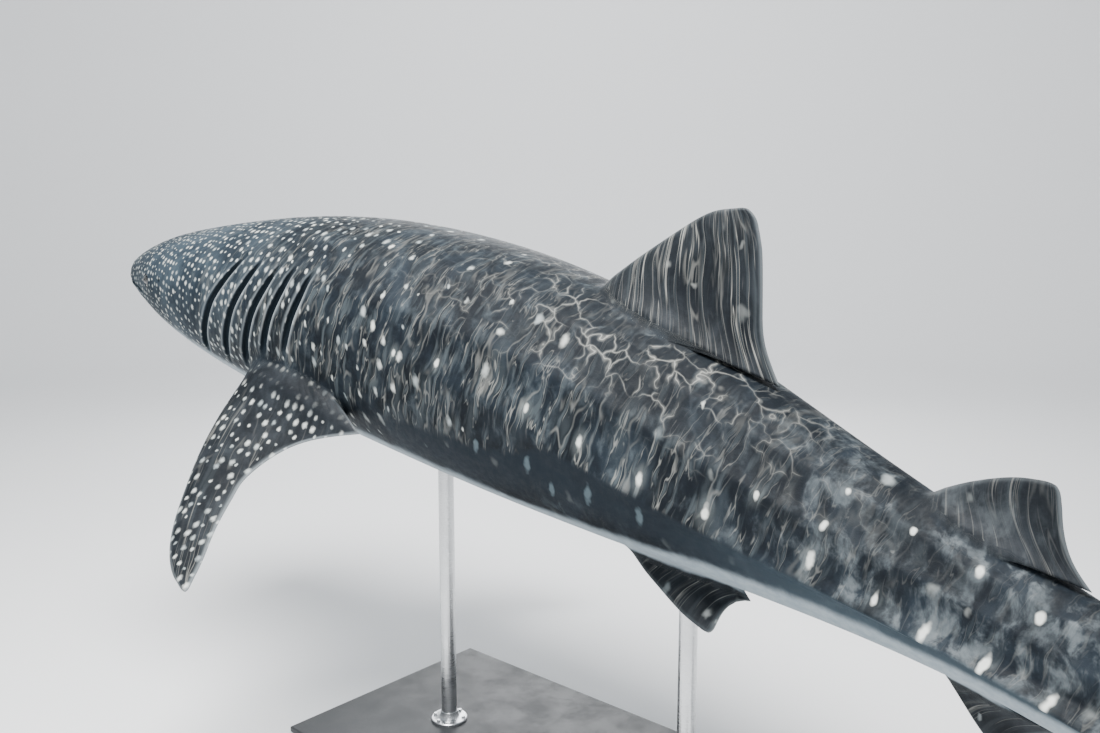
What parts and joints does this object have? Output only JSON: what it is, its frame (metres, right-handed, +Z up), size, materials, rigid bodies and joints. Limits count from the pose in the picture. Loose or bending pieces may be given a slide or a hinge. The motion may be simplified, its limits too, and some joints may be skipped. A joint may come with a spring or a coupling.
{
  "type": "whale shark display model",
  "caption": "Life-size still model of a whale shark swimming in a gentle left bend, head slightly up, held on rods over a flat display base.",
  "frame": {"origin": "centre of the underside of the stand's base", "axes": "+Z up, head towards -X, tail towards +X, the animal's left side towards -Y"},
  "size_m": [6.9489, 2.7528, 2.6738],
  "materials": {
    "back_skin": "satin wet-looking dark grey-blue skin with pale spots",
    "head_skin": "satin dark grey-blue skin with dense small pale spots",
    "fin_skin": "satin dark skin with pale spots",
    "jaw_skin": "satin pale grey skin",
    "eye_glass": "glossy near-black",
    "stand_base_paint": "satin charcoal powder coat",
    "stand_rod_steel": "brushed"
  },
  "bodies": {
    "root": {"head": "head_skin", "gill_region": "head_skin", "lower_jaw": "jaw_skin", "trunk_front": "back_skin", "trunk_rear": "back_skin", "tail_stock": "back_skin", "caudal_peduncle": "back_skin", "caudal_fin_upper": "fin_skin", "caudal_fin_lower": "fin_skin", "first_dorsal_fin": "fin_skin", "second_dorsal_fin": "fin_skin", "anal_fin": "fin_skin", "pectoral_fin_left": "fin_skin", "pectoral_fin_right": "fin_skin", "pelvic_fin_left": "fin_skin", "pelvic_fin_right": "fin_skin", "eye_left": "eye_glass", "eye_right": "eye_glass", "stand_base": "stand_base_paint", "stand_rod_front": "stand_rod_steel", "stand_rod_rear": "stand_rod_steel"}
  },
  "joints": []
}
